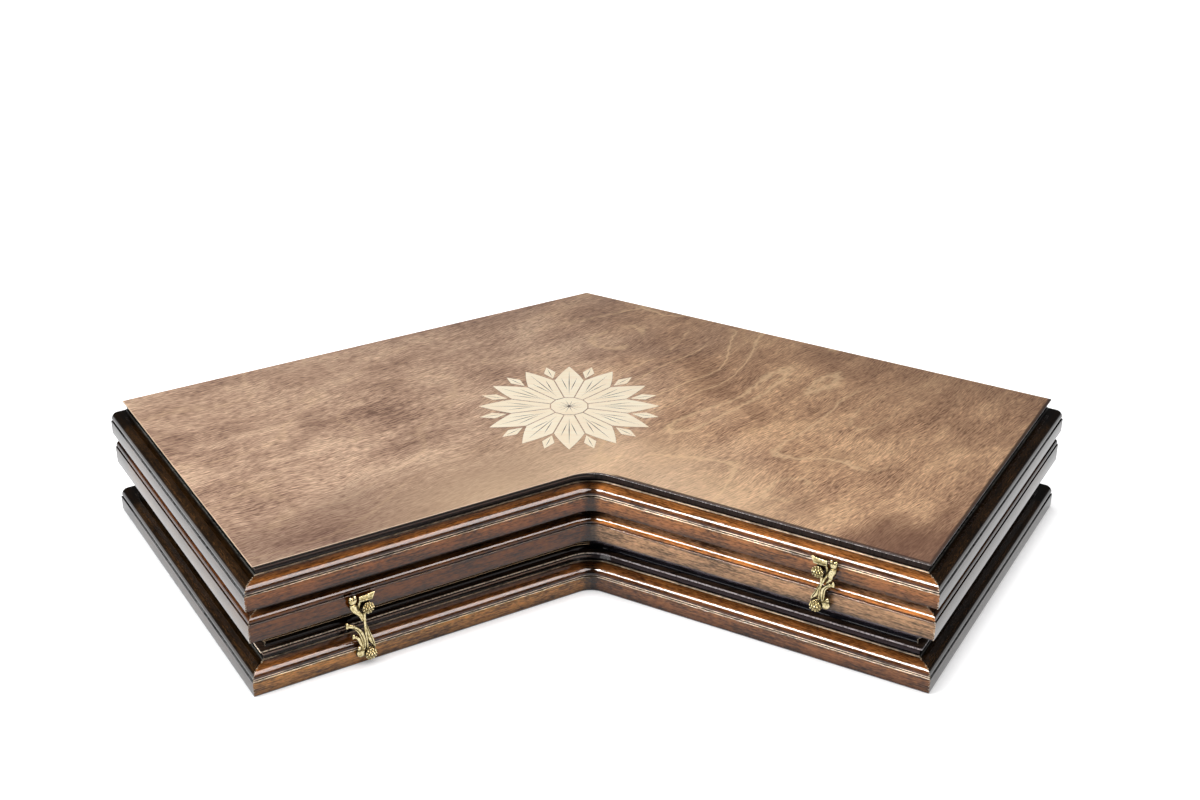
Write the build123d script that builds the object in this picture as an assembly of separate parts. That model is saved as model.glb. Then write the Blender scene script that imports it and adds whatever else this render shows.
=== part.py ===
from build123d import *
from math import cos, radians, sin, sqrt, tan
import os

# Three-player backgammon set: three V-shaped trays that stack into one box and
# unfold about the two back edges of the middle tray into a three-armed board.
# The plan is symmetric about X = 0. The apex of the V points to +Y (the back)
# and the open side of the V faces -Y (the front). Z = 0 is the resting plane.

# Plan of a tray, along the outer edge of its panel
arm_length = 430.0        # apex to the end of an arm, along the back edge
arm_width = 285.0         # back edge to front edge
half_angle = 60.0         # each arm is turned this far from the plan's axis
inner_radius = 28.0       # routed corner between the two front edges

# Heights
shallow_height = 27.0     # upper tray and lower tray
middle_height = 42.2      # middle tray, which also stores the men
seam = 0.3                # between closed trays

# Boards
panel_thickness = 6.6
panel_lip = 1.4           # thickness of the panel's projecting edge
neck_recess = 2.6         # the panel below its lip stands back by this
wall_inset = 18.0         # inner face of a moulded wall, back from the panel edge
back_thickness = 12.0     # plain walls that meet when the board is open
field_thickness = 1.0     # playing field with inlaid points

# Moulding of the shallow trays, measured out from the panel edge
band_reach = 11.2
ovolo_radius = 5.2
quirk_depth = 0.7
quirk_height = 0.9
quirk_drop = 0.8          # plain fillet between the ovolo and the quirk
band_step = 0.9           # the band stands out from the ovolo
rim_chamfer = 1.8

# Moulding of the middle tray
middle_reach = 10.3
middle_neck = 1.0         # upper wall, out from the panel edge
middle_neck_height = 8.2
ledge_fall = 0.2
ledge_round = 3.0
ledge_step = 0.8
band_drop = 25.7          # underside of the band, down from the rim
plinth_inset = 5.0        # foot of the cove, back from the panel edge
plinth_height = 3.5
cove_sag = 1.6

# Points of the playing field
point_count = 6           # on each arm
point_margin = 5.9        # between the outer points and the ends of their wall
point_length = 178.0
field_clearance = 0.1     # between the field and the moulded walls

# Butt hinges in the back walls
hinge_offset = 0.4        # pin centre, out from the back wall
hinge_from_apex = 92.0    # centre of the first hinge
hinge_from_end = 82.0     # centre of the second hinge, back from the arm's end
leaf_length = 54.0
leaf_thickness = 1.6
leaf_reach = 20.0         # height of a leaf above or below the pin
upper_leaf_reach = 17.0   # height of the upper tray's leaves on their wall
knuckle_overlap = 1.0     # the leaf runs into its knuckles by this
barrel_radius = 3.0
knuckles = 3              # the outer ones hold the pin
knuckle_gap = 0.2
pin_radius = 1.3
pin_clearance = 0.05
barrel_clearance = 0.35
leaf_clearance = 0.25
leaf_shadow = 0.3         # behind a leaf where it crosses the other tray

# Hook latches on the front walls
latch_from_end = 75.5     # back from the arm's end, along the front edge
hook_plane = 12.0         # back of the hook, out from the panel edge
hook_thickness = 3.0
stud_radius = 3.7
rosette_radius = 4.8
rosette_height = 1.8
crown_radius = 2.6        # raised middle of the rosette
crown_height = 1.2
hook_clearance = 0.15
throat_clearance = 0.35
pivot_radius = 1.8
pivot_clearance = 0.05
washer_radius = 3.6
upper_stud_drop = 21.0    # stud on the upper tray, down from its top
middle_pivot_drop = 22.0  # pivot and stud on the middle tray, down from its rim
lower_pivot_drop = 18.5   # pivot on the lower tray, down from its top

# Outline of the cast hooks: out from the line of pivot and stud, and up. Rises and
# reaches marked as shares are shares of the span from pivot to stud.
foot_radius = 4.8
cup_radius = 4.4          # cup beside the foot
cup_out = 6.6
cup_rise = 2.6
stem_foot_out = 3.0       # centre line of the stem at the pivot
stem_head_out = 2.3       # and at the stud
stem_foot = 5.6           # width at its foot, waist and head
stem_waist = 3.4
stem_head = 5.8
crook_wall = 3.9          # metal round the stud
crook_drop = 9.0          # the open side reaches this far below the stud
tab_reach = 6.7           # flat leaf above the stud
tab_rise = 11.0
tab_fall = 0.6
tab_root = 6.0
bud_out = 10.6            # round head of the bud
bud_rise = 7.4
bud_radius = 3.9
bud_tail_out = 4.4
bud_tail_drop = 9.5
bud_bulge = -1.2
bud_waist = 5.0
bud_tail = 1.6
blade_root_out = 2.2      # narrow leaf beside the stem
blade_rise = 0.66         # share
blade_out = -4.3
blade_foot = 3.4
blade_root = 1.6
blade_width = 4.2
blade_tip = 1.2
horn_root_out = 4.0
horn_rise = 0.2           # share
horn_reach = 0.40         # share
horn_tip_rise = 0.74      # share
horn_root = 3.6
horn_width = 3.2
horn_bulge = 2.8
curl_rise = 0.15          # share; lower horn, on the long hook only
curl_reach = 0.3          # share
curl_tip_rise = 0.46      # share
long_span = 34.0
knob_radius = 1.3         # round tip of a horn

# Inlaid rosette of the upper panel
inlay_back = 226.0        # centre of the inlay, forward of the apex
inlay_shift = -16.0       # and to the left of the plan's axis
inlay_depth = 0.8
petal_count = 12
petal_wide = 46.0         # distance of a petal's widest place from the centre
petal_outer = 72.0
petal_gap = 0.8
hub_radius = 15.0
diamond_centre = 62.0
diamond_length = 22.0
diamond_half = 5.0

# Men and dice
colours = ("light", "dark", "red")
man_radius = 17.5
man_height = 6.4
men_of_a_colour = 15
stack_count = 5           # men in a stack
stack_pitch = 36.5
man_clearance = 0.4
man_lift = 0.05
die_side = 14.0
die_pairs = 3
die_pitch = 19.0
dice_forward = 118.0      # row of dice, forward of the inner face of the apex

# Overlap of the tools that trim one board to another
trim = 1.0

# Derived levels, from the resting plane up
lower_top = shallow_height
middle_base = lower_top + seam
middle_top = middle_base + middle_height
upper_base = middle_top + seam
upper_top = upper_base + shallow_height
floor_rise = panel_thickness + field_thickness

# Derived plan: the box round the closed set is centred on the origin
SIN = sin(radians(half_angle))
COS = cos(radians(half_angle))
TAN = tan(radians(half_angle))
front_reach = arm_width + band_reach
apex_y = ((arm_length + band_reach) * COS + front_reach * SIN) / 2


def spot(along, inward, side=-1):
    """Plan point on an arm: distance from the apex and distance in from the back edge."""
    x = side * (along * SIN - inward * COS)
    return (x, apex_y - along * COS - inward * SIN)


def axis_spot(inward):
    """Plan point on the plan's axis, at this distance in from both back edges."""
    return (0, apex_y - inward / SIN)


def slab(points, bottom, top):
    return extrude(Plane.XY.offset(bottom) * make_face(Polyline(*points, close=True)), top - bottom)


def other_side(solid):
    return mirror(solid, about=Plane.YZ)


def chevron(setback, corner, bottom, top, back=0.0):
    """V-shaped plate, set back from the panel's edge, with a rounded inner corner."""
    width = arm_width - setback
    end = arm_length - setback
    left = [spot(end, back), spot(end, width), axis_spot(width)]
    right = [(-x, y) for x, y in reversed(left[:2])]
    outline = Polyline(axis_spot(back), *left, *right, close=True)
    face = make_face(outline)
    inner = face.vertices().sort_by_distance((*axis_spot(width), 0))[0]
    face = fillet(inner, corner)
    return extrude(Plane.XY.offset(bottom) * face, top - bottom)


def shallow_profile():
    """Wall of the upper or lower tray: inward distance across, height below the tray's top up."""
    top = -panel_thickness
    nose = arm_width + band_reach - band_step
    band = arm_width + band_reach
    inner = arm_width - wall_inset
    foot = -shallow_height
    quirk = top - ovolo_radius - quirk_drop
    ovolo = RadiusArc((nose - ovolo_radius, top), (nose, top - ovolo_radius), -ovolo_radius)
    upper = Polyline((inner, foot), (inner, top), ovolo @ 0)
    middle = Polyline(
        ovolo @ 1, (nose, quirk), (nose - quirk_depth, quirk),
        (nose - quirk_depth, quirk - quirk_height), (band, quirk - quirk_height),
        (band, foot + rim_chamfer), (band - rim_chamfer, foot), (inner, foot),
    )
    return make_face([upper, ovolo, middle])


def middle_profile():
    """Wall of the middle tray: inward distance across, height below the rim up."""
    inner = arm_width - wall_inset
    neck = arm_width + middle_neck
    band = arm_width + middle_reach
    nose = band - ledge_step
    ledge = -middle_neck_height
    foot = -middle_height
    plinth = arm_width - plinth_inset
    round_top = (nose - ledge_round, ledge - ledge_fall)
    round_end = (nose, ledge - ledge_fall - ledge_round)
    ledge_arc = RadiusArc(round_top, round_end, -ledge_round)
    cove_top = (band, -band_drop)
    cove_end = (plinth, foot + plinth_height)
    run = (cove_top[0] - cove_end[0], cove_top[1] - cove_end[1])
    chord = sqrt(run[0] ** 2 + run[1] ** 2)
    sag = (-cove_sag * run[1] / chord, cove_sag * run[0] / chord)
    deep = ((cove_top[0] + cove_end[0]) / 2 + sag[0], (cove_top[1] + cove_end[1]) / 2 + sag[1])
    cove = ThreePointArc(cove_top, deep, cove_end)
    upper = Polyline((inner, foot), (inner, 0), (neck, 0), (neck, ledge), round_top)
    band_line = Polyline(round_end, (band, round_end[1]), cove_top)
    plinth_line = Polyline(cove_end, (plinth, foot), (inner, foot))
    return make_face([upper, ledge_arc, band_line, cove, plinth_line])


def across_arm(along, level):
    """Plane square to the left arm: X runs in from the back edge, Y runs up."""
    return Plane(origin=(*spot(along, 0), level), x_dir=(COS, -SIN, 0), z_dir=(-SIN, -COS, 0))


def along_end(level):
    """Plane square to the left arm's end wall: X runs out along the arm, Y runs up."""
    origin = spot(arm_length - arm_width, 0)
    return Plane(origin=(*origin, level), x_dir=(-SIN, -COS, 0), z_dir=(-COS, SIN, 0))


def front_wall(profile, level, bottom):
    """Left front wall: a straight moulded board that turns into the routed inner corner."""
    turn_inward = arm_width + inner_radius
    turn_along = turn_inward / TAN
    reach = band_reach + trim
    length = arm_length + reach - turn_along
    straight = extrude(across_arm(turn_along, level) * profile, length)
    corner = arm_width - wall_inset
    inner_end = arm_length - wall_inset
    plan = [
        spot(turn_along - trim, corner - trim), spot(inner_end - trim, corner - trim),
        spot(arm_length + reach, arm_width + reach), spot(turn_along - trim, arm_width + reach),
    ]
    straight = straight & slab(plan, bottom, level)
    centre = Axis((*axis_spot(turn_inward), 0), (0, 0, 1))
    turn = revolve(across_arm(turn_along, level) * profile, axis=centre, revolution_arc=half_angle - 90)
    return straight + turn


def end_wall(profile, level, bottom):
    """Left end wall, mitred to the front wall and square at the back edge."""
    reach = band_reach + trim
    corner = arm_width - wall_inset
    inner_end = arm_length - wall_inset
    board = extrude(along_end(level) * profile, -(arm_width + reach))
    plan = [
        spot(inner_end - trim, 0), spot(arm_length + reach, 0),
        spot(arm_length + reach, arm_width + reach), spot(inner_end - trim, corner - trim),
    ]
    return board & slab(plan, bottom, level)


def back_wall(bottom, top):
    """Left back wall, mitred at the apex and butted to the end wall."""
    end = arm_length - wall_inset
    plan = [
        axis_spot(0), spot(end, 0), spot(end, back_thickness), axis_spot(back_thickness),
    ]
    return slab(plan, bottom, top)


def back_frame(side, along, level):
    """Frame on a back edge: X along the edge, Y into the tray, Z up."""
    x_dir = (-SIN, -COS, 0) if side < 0 else (-SIN, COS, 0)
    return Plane(origin=(*spot(along, 0, side), level), x_dir=x_dir, z_dir=(0, 0, 1))


def block(x_span, y_span, z_span):
    low = Pos(x_span[0], y_span[0], z_span[0])
    size = (x_span[1] - x_span[0], y_span[1] - y_span[0], z_span[1] - z_span[0])
    return low * Box(*size, align=(Align.MIN, Align.MIN, Align.MIN))


def bar(radius, start, end):
    """Round bar along X on the hinge's pin line."""
    line = Plane(origin=(start, -hinge_offset, 0), x_dir=(0, 1, 0), z_dir=(1, 0, 0))
    return extrude(line * Circle(radius), end - start)


def ordered(first, second):
    return (min(first, second), max(first, second))


def leaf(way, reach, first):
    """Hinge leaf with every second knuckle. way is 1 for up from the pin and -1 for down."""
    start = -leaf_length / 2
    pitch = leaf_length / knuckles
    clear = barrel_radius + barrel_clearance
    plate = block((start, -start), (0, leaf_thickness), ordered(way * clear, way * reach))
    for index in range(first, knuckles, 2):
        low = start + index * pitch + (knuckle_gap if index else 0)
        high = start + (index + 1) * pitch
        tab = block((low, high), (0, leaf_thickness), ordered(0, way * (clear + knuckle_overlap)))
        plate = plate + tab + bar(barrel_radius, low, high)
    if first == 0:
        return plate + bar(pin_radius, start, -start)
    return plate - bar(pin_radius + pin_clearance, start, -start)


def leaf_pocket(way, reach, depth, start=0.0):
    side = leaf_length / 2 + leaf_clearance
    low, high = ordered(way * start, way * (reach + leaf_clearance))
    return block((-side, side), (-barrel_radius, depth), (low, high))


def barrel_pocket():
    side = leaf_length / 2 + leaf_clearance
    return bar(barrel_radius + barrel_clearance, -side, side)


def latch_frame(level):
    """Frame on the right front wall: X away from the inner corner, Y up, Z out of the wall."""
    origin = spot(arm_length - latch_from_end, arm_width, 1)
    return Plane(origin=(*origin, level), x_dir=(SIN, -COS, 0), z_dir=(-COS, -SIN, 0))


def disc(radius, low, high):
    return Pos(0, 0, low) * Cylinder(radius, high - low, align=(Align.CENTER, Align.CENTER, Align.MIN))


def rosette(low):
    """Raised round head of a stud or pivot."""
    rim = low + rosette_height
    return disc(rosette_radius, low, rim) + disc(crown_radius, rim, rim + crown_height)


def stud(wall_face):
    """Round stud that the hook holds, with a rosette for a head."""
    front = hook_plane + hook_thickness + hook_clearance
    return disc(stud_radius, wall_face, front) + rosette(front)


def pivot(wall_face):
    """Washer, pin and rosette head that the hook turns on."""
    front = hook_plane + hook_thickness + hook_clearance
    washer = disc(washer_radius, wall_face, hook_plane - hook_clearance)
    return washer + disc(pivot_radius, wall_face, front) + rosette(front)


def blade(root, tip, bulge, widths):
    """Curved blade between two points. widths are those at its root, middle and tip."""
    run = (tip[0] - root[0], tip[1] - root[1])
    length = sqrt(run[0] ** 2 + run[1] ** 2)
    across = (-run[1] / length, run[0] / length)
    middle = ((root[0] + tip[0]) / 2 + bulge * across[0], (root[1] + tip[1]) / 2 + bulge * across[1])
    edges = []
    for side in (0.5, -0.5):
        edges.append([
            (x + side * width * across[0], y + side * width * across[1])
            for (x, y), width in zip((root, middle, tip), widths)
        ])
    outer = ThreePointArc(*edges[0])
    inner = ThreePointArc(*reversed(edges[1]))
    return make_face([outer, Line(outer @ 1, inner @ 0), inner, Line(inner @ 1, outer @ 0)])


def horn(root, tip):
    """Curved horn with a knob at its tip."""
    widths = (horn_root, horn_width, knob_radius)
    return blade(root, tip, horn_bulge, widths) + Pos(*tip) * Circle(knob_radius)


def hook(span):
    """Cast hook. The pivot is at the origin and the stud is at height span above it."""
    throat = stud_radius + throat_clearance
    top = span + throat
    reach = throat + crook_wall
    foot = Circle(foot_radius) + Pos(cup_out, cup_rise) * Circle(cup_radius)
    stem = blade((stem_foot_out, 0), (stem_head_out, span), 0, (stem_foot, stem_waist, stem_head))
    crook = Pos(0, span) * Circle(reach) & Pos(reach, span) * Rectangle(2 * reach, 2 * reach)
    bud_head = (bud_out, span + bud_rise)
    bud = Pos(*bud_head) * Circle(bud_radius) + blade(
        bud_head, (bud_tail_out, span - bud_tail_drop), bud_bulge, (2 * bud_radius, bud_waist, bud_tail))
    tab = make_face(Polyline(
        (tab_root, top), (tab_root, span + tab_rise - tab_fall), (-tab_reach, span + tab_rise),
        (-throat, top), close=True,
    ))
    narrow = blade(
        (blade_root_out, span * blade_rise), (blade_out, blade_foot), 0,
        (blade_root, blade_width, blade_tip))
    upper_horn = horn((horn_root_out, span * horn_rise), (span * horn_reach, span * horn_tip_rise))
    shape = foot + stem + crook + bud + tab + narrow + upper_horn
    if span > long_span:
        shape = shape + horn((horn_root_out, span * curl_rise), (span * curl_reach, span * curl_tip_rise))
    stem_edge = stem_head_out - stem_head / 2
    far = blade_out - tab_reach
    mouth = make_face(Polyline(
        (stem_edge, span - crook_drop), (stem_edge, top), (far, top), (far, span - crook_drop), close=True))
    holes = Pos(0, span) * Circle(throat) + mouth + Circle(pivot_radius + pivot_clearance)
    return extrude(Plane.XY.offset(hook_plane) * (shape - holes), hook_thickness)


def point_shapes(first):
    """Every second triangular point of the left arm, standing on the front wall."""
    base = arm_width - wall_inset
    start = base / TAN + point_margin
    point_width = (arm_length - wall_inset - point_margin - start) / point_count
    shapes = []
    for index in range(first, point_count, 2):
        low = start + index * point_width
        tip = spot(low + point_width / 2, base - point_length)
        shapes.append([spot(low, base), spot(low + point_width, base), tip])
    return shapes


def points(first, bottom, top):
    """Points of one colour. The right arm starts with the other colour."""
    left = [slab(shape, bottom, top) for shape in point_shapes(first)]
    right = [other_side(slab(shape, bottom, top)) for shape in point_shapes(1 - first)]
    return left + right


def petal(turn):
    """Pointed petal that keeps an even gap to its neighbours and to the hub."""
    half_step = radians(180 / petal_count)
    inner = hub_radius * cos(half_step) + petal_gap
    edge = [(x, x * tan(half_step) - petal_gap / 2 / cos(half_step)) for x in (inner, petal_wide)]
    mirrored = [(x, -y) for x, y in reversed(edge)]
    return Rot(0, 0, turn) * make_face(Polyline(*edge, (petal_outer, 0), *mirrored, close=True))


def diamond(turn):
    """Diamond between the tips of two petals."""
    half = diamond_length / 2
    shape = Polyline(
        (diamond_centre - half, 0), (diamond_centre, diamond_half),
        (diamond_centre + half, 0), (diamond_centre, -diamond_half), close=True,
    )
    return Rot(0, 0, turn) * make_face(shape)


def inlay(shapes):
    place = Pos(inlay_shift, apex_y - inlay_back, upper_top - inlay_depth)
    return [place * extrude(shape, inlay_depth) for shape in shapes]


def men(colour):
    """Stacks of one colour, every third place of the row along the back walls."""
    inward = back_thickness + man_radius + man_clearance
    apex_along = inward / TAN
    floor = middle_base + floor_rise + man_lift
    stacks = men_of_a_colour // stack_count
    row = len(colours) * stacks
    discs = []
    for stack in range(stacks):
        place = len(colours) * stack + colour - row // 2
        side = -1 if place < 0 else 1
        x, y = spot(apex_along + abs(place) * stack_pitch, inward, side)
        discs.append(Pos(x, y, 0) * disc(man_radius, floor, floor + stack_count * man_height))
    return discs


def dice():
    """Pairs of dice in a row on the field of the middle tray."""
    floor = middle_base + floor_rise + man_lift
    x0 = -(2 * die_pairs - 1) * die_pitch / 2
    y = axis_spot(back_thickness)[1] - dice_forward
    cubes = []
    for index in range(2 * die_pairs):
        corner = Pos(x0 + index * die_pitch, y, floor)
        cubes.append(corner * Box(die_side, die_side, die_side, align=(Align.CENTER, Align.CENTER, Align.MIN)))
    return cubes


def panel(bottom):
    """Chevron panel: a projecting lip above a recessed neck, flush at the back edges."""
    neck_top = bottom + panel_thickness - panel_lip
    neck = chevron(neck_recess, inner_radius + neck_recess, bottom, neck_top)
    return neck + chevron(0, inner_radius, neck_top, bottom + panel_thickness)


def sheet(bottom, top):
    """V-shaped sheet that fills the space between the walls."""
    setback = wall_inset + field_clearance
    return chevron(setback, inner_radius + setback, bottom, top, back=back_thickness)


def field(bottom):
    """Playing field between the walls, with the places of the points cut out."""
    top = bottom + field_thickness
    board = sheet(bottom, top)
    for shape in points(0, bottom, top) + points(1, bottom, top):
        board = board - shape
    return board


def trimmed_points(first, bottom):
    """Points cut to the field's edge."""
    top = bottom + field_thickness
    return [sheet(bottom, top) & shape for shape in points(first, bottom, top)]


def tray_walls(name, profile, top, bottom, back_top):
    """The six boards round a tray, keyed by node name."""
    walls = {}
    front = front_wall(profile, top, bottom)
    end = end_wall(profile, top, bottom)
    back = back_wall(bottom, back_top)
    for part, board in (("front", front), ("end", end), ("back", back)):
        walls[f"{name}_left_{part}"] = board
        walls[f"{name}_right_{part}"] = other_side(board)
    return walls


nodes = {}

# Upper tray, which opens downwards onto the middle tray
upper_under = upper_top - panel_thickness
nodes["upper_panel"] = panel(upper_under)
nodes.update(tray_walls("upper", shallow_profile(), upper_top, upper_base, upper_under))
nodes["upper_field"] = field(upper_under - field_thickness)
nodes["upper_light_points"] = trimmed_points(0, upper_under - field_thickness)
nodes["upper_dark_points"] = trimmed_points(1, upper_under - field_thickness)

# Middle tray, which opens upwards
floor_top = middle_base + panel_thickness
nodes["middle_floor"] = sheet(middle_base, floor_top)
nodes.update(tray_walls("middle", middle_profile(), middle_top, middle_base, middle_top))
nodes["middle_field"] = field(floor_top)
nodes["middle_light_points"] = trimmed_points(0, floor_top)
nodes["middle_dark_points"] = trimmed_points(1, floor_top)

# Lower tray, which opens downwards and turns over when the board is laid out
lower_under = lower_top - panel_thickness
nodes["lower_panel"] = panel(lower_under)
nodes.update(tray_walls("lower", shallow_profile(), lower_top, 0, lower_under))
nodes["lower_field"] = field(lower_under - field_thickness)
nodes["lower_light_points"] = trimmed_points(0, lower_under - field_thickness)
nodes["lower_dark_points"] = trimmed_points(1, lower_under - field_thickness)

# Inlaid rosette in the upper panel
step = 360 / petal_count
petals = [petal(step * index) for index in range(petal_count)]
diamonds = [diamond(step * (index + 0.5)) for index in range(petal_count)]
hub = Rot(0, 0, step / 2) * RegularPolygon(hub_radius, petal_count)
nodes["rosette_petals"] = inlay(petals + [hub])
nodes["rosette_diamonds"] = inlay(diamonds)
for piece in nodes["rosette_petals"] + nodes["rosette_diamonds"]:
    nodes["upper_panel"] = nodes["upper_panel"] - piece

# Hinges. The upper hinge line lies half way between the top of the upper tray and
# the base of the middle tray, so that both stand on the table when the board is open.
upper_pin_level = (upper_top + middle_base) / 2
lower_pin_level = (lower_top + middle_base) / 2
upper_reach = upper_base - upper_pin_level + upper_leaf_reach
for number, place in enumerate((hinge_from_apex, arm_length - hinge_from_end), 1):
    upper_frame = back_frame(-1, place, upper_pin_level)
    seat = upper_frame * leaf_pocket(1, upper_reach, leaf_thickness)
    nodes["upper_left_back"] = nodes["upper_left_back"] - seat
    crossing = leaf_pocket(1, middle_top - upper_pin_level, leaf_thickness + leaf_shadow)
    lower_seat = leaf_pocket(-1, leaf_reach, leaf_thickness)
    cut = upper_frame * (crossing + lower_seat + barrel_pocket())
    nodes["middle_left_back"] = nodes["middle_left_back"] - cut
    nodes[f"upper_leaf_{number}"] = upper_frame * leaf(1, upper_reach, 1)
    nodes[f"middle_leaf_left_{number}"] = upper_frame * leaf(-1, leaf_reach, 0)

    lower_frame = back_frame(1, place, lower_pin_level)
    above = lower_frame * (leaf_pocket(1, leaf_reach, leaf_thickness) + barrel_pocket())
    below = lower_frame * (leaf_pocket(-1, leaf_reach, leaf_thickness) + barrel_pocket())
    nodes["middle_right_back"] = nodes["middle_right_back"] - above
    nodes["lower_right_back"] = nodes["lower_right_back"] - below
    nodes["lower_panel"] = nodes["lower_panel"] - below
    nodes[f"middle_leaf_right_{number}"] = lower_frame * leaf(1, leaf_reach, 0)
    nodes[f"lower_leaf_{number}"] = lower_frame * leaf(-1, leaf_reach, 1)

# Latches: the right one joins the upper and middle trays, the left one the middle and lower
upper_stud_level = upper_top - upper_stud_drop
middle_pivot_level = middle_top - middle_pivot_drop
lower_pivot_level = lower_top - lower_pivot_drop
right_span = upper_stud_level - middle_pivot_level
left_span = middle_pivot_level - lower_pivot_level
nodes["right_stud"] = latch_frame(upper_stud_level) * stud(band_reach)
nodes["right_hook"] = latch_frame(middle_pivot_level) * hook(right_span)
nodes["right_pivot"] = latch_frame(middle_pivot_level) * pivot(middle_reach)
nodes["left_stud"] = other_side(latch_frame(middle_pivot_level) * stud(middle_reach))
nodes["left_hook"] = other_side(latch_frame(lower_pivot_level) * hook(left_span))
nodes["left_pivot"] = other_side(latch_frame(lower_pivot_level) * pivot(band_reach))

# What the closed box holds
for number, colour in enumerate(colours):
    nodes[f"{colour}_men"] = men(number)
nodes["dice"] = dice()

os.makedirs("parts", exist_ok=True)
for name, shape in nodes.items():
    solids = [solid for piece in shape for solid in piece.solids()] if isinstance(shape, list) else shape.solids()
    body = solids[0] if len(solids) == 1 else Compound(children=solids)
    export_step(body, f"parts/{name}.step")
    print(name, len(solids))
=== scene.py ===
from math import cos, hypot, pi, radians, sin, tan

import bmesh
import bpy
from mathutils import Matrix, Vector, kdtree

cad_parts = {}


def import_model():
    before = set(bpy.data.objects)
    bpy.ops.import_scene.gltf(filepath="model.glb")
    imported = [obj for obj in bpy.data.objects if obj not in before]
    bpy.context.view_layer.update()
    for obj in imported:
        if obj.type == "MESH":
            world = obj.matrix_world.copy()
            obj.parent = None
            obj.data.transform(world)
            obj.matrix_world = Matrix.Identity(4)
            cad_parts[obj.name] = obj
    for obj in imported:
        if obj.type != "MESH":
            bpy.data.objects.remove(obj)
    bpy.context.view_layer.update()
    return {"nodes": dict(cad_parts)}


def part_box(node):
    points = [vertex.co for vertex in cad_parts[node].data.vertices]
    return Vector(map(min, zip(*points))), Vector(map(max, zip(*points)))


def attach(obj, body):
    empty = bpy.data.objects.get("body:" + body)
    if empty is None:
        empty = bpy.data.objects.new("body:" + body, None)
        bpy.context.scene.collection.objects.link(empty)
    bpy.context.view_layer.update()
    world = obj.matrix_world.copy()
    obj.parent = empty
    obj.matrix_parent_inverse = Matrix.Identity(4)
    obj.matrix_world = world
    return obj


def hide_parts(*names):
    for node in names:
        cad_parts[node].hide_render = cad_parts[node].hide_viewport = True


# Looks of the closed three-player backgammon set. Lengths are in metres, in the frame of the
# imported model: the apex of the V points to +Y, Z = 0 is the resting plane.

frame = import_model()
nodes = frame["nodes"]

MM = 0.001

# Plan of the trays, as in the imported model
arm_length = 430 * MM
arm_width = 285 * MM
inner_radius = 28 * MM
SIN = sin(radians(60))
COS = cos(radians(60))
TAN = tan(radians(60))

# Levels, read from the frame
upper_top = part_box("upper_panel")[1].z
middle_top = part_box("middle_left_front")[1].z
middle_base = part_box("middle_left_front")[0].z
lower_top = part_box("lower_panel")[1].z
apex_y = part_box("upper_panel")[1].y

PANEL_THICKNESS = 6.6       # millimetres, as are the three below
EDGE_COLOURS = 7.0          # height that the colour ramps of a panel's edge cover
LATCH_INSET = 75.5          # a latch's line, in from the end of the arm
HINGE_KNUCKLE = 6.1         # part of a leaf's height that its knuckles take


def spot(along, inward, side=-1):
    """Plan point on an arm: distance from the apex and distance in from the back edge."""
    return Vector((side * (along * SIN - inward * COS), apex_y - along * COS - inward * SIN))


# Materials


def srgb(red, green, blue, alpha=1):
    """Scene colour of an sRGB colour given in 0 to 255."""
    def linear(value):
        share = value / 255
        return share / 12.92 if share <= 0.04045 else ((share + 0.055) / 1.055) ** 2.4
    return (linear(red), linear(green), linear(blue), alpha)


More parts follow.
